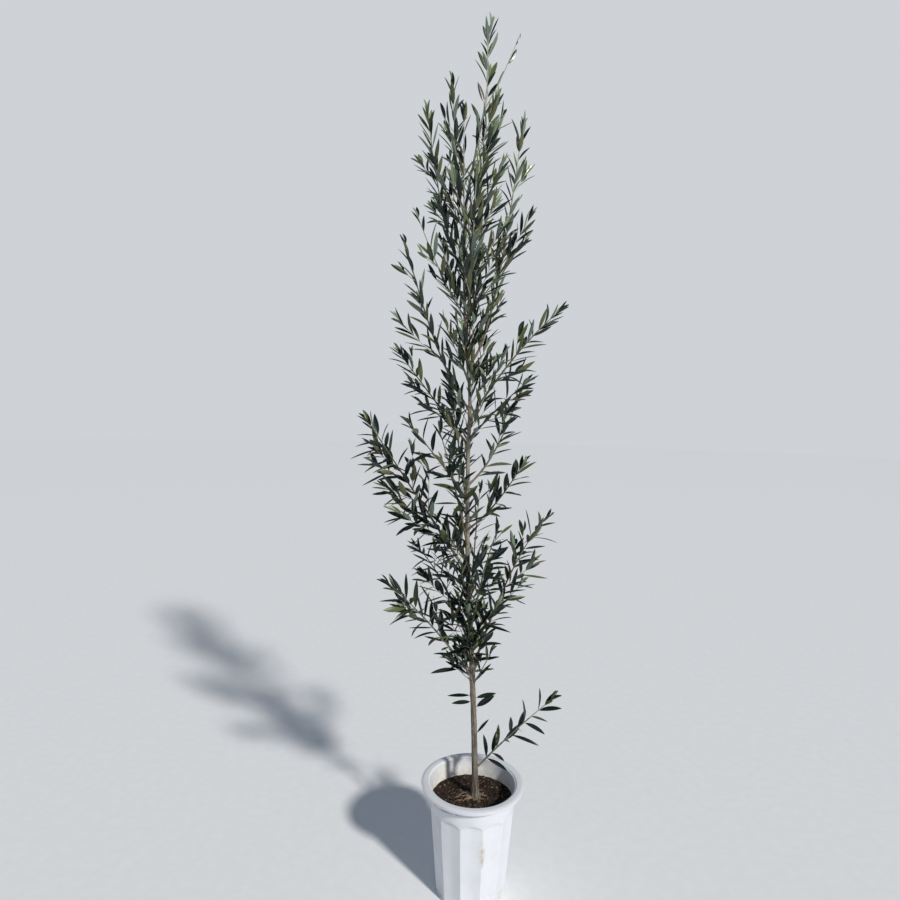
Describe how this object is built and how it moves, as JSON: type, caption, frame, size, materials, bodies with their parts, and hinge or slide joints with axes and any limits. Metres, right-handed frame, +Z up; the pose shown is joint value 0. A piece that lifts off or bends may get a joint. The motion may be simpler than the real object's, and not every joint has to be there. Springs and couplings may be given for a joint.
{
  "type": "potted olive tree",
  "caption": "Slender young olive tree with a single leader and airy boughs of lance-shaped leaves, growing in a white fluted plastic pot.",
  "frame": {"origin": "centre of the pot's flat underside, which stands on the ground", "axes": "+Z up along the pot's axis, +X to the right and +Y to the back of someone who looks at the tree's front"},
  "size_m": [0.5872, 0.4935, 2.497],
  "materials": {
    "white_plastic": "weathered white plastic with a dull sheen",
    "potting_mix": "dark moist mix with pale chips",
    "bark": "grey-brown bark with fine fissures",
    "foliage": "leathery leaves, dark green above and silvery below"
  },
  "bodies": {
    "root": {"bough_big_left": "bark", "bough_left_leader": "bark", "bough_long_right": "bark", "bough_low_right": "bark", "bough_lower_back": "bark", "bough_lower_front": "bark", "bough_lower_left_back": "bark", "bough_lower_left_front": "bark", "bough_lower_right_back": "bark", "bough_middle_back": "bark", "bough_middle_front_left": "bark", "bough_middle_left": "bark", "bough_middle_right_back": "bark", "bough_middle_right_front": "bark", "bough_right_leader": "bark", "bough_upper_back": "bark", "bough_upper_front": "bark", "bough_upper_left": "bark", "bough_upper_left_back": "bark", "bough_upper_right_front": "bark", "foliage_big_left": "foliage", "foliage_core_left": "foliage", "foliage_core_right": "foliage", "foliage_crown_top": "foliage", "foliage_foot_left": "foliage", "foliage_foot_right": "foliage", "foliage_high_back": "foliage", "foliage_high_front": "foliage", "foliage_high_left": "foliage", "foliage_high_right": "foliage", "foliage_inner_left": "foliage", "foliage_inner_right": "foliage", "foliage_left_leader": "foliage", "foliage_long_right": "foliage", "foliage_low_back": "foliage", "foliage_low_front": "foliage", "foliage_low_right": "foliage", "foliage_lower_back": "foliage", "foliage_lower_front": "foliage", "foliage_lower_left_back": "foliage", "foliage_lower_left_front": "foliage", "foliage_lower_right_back": "foliage", "foliage_middle_back": "foliage", "foliage_middle_front_left": "foliage", "foliage_middle_left": "foliage", "foliage_middle_right_back": "foliage", "foliage_middle_right_front": "foliage", "foliage_right_leader": "foliage", "foliage_top_back": "foliage", "foliage_top_front": "foliage", "foliage_top_left": "foliage", "foliage_top_right": "foliage", "foliage_upper_back": "foliage", "foliage_upper_front": "foliage", "foliage_upper_left": "foliage", "foliage_upper_left_back": "foliage", "foliage_upper_right_front": "foliage", "pot": "white_plastic", "potting_mix": "potting_mix", "trunk": "bark"}
  },
  "joints": []
}
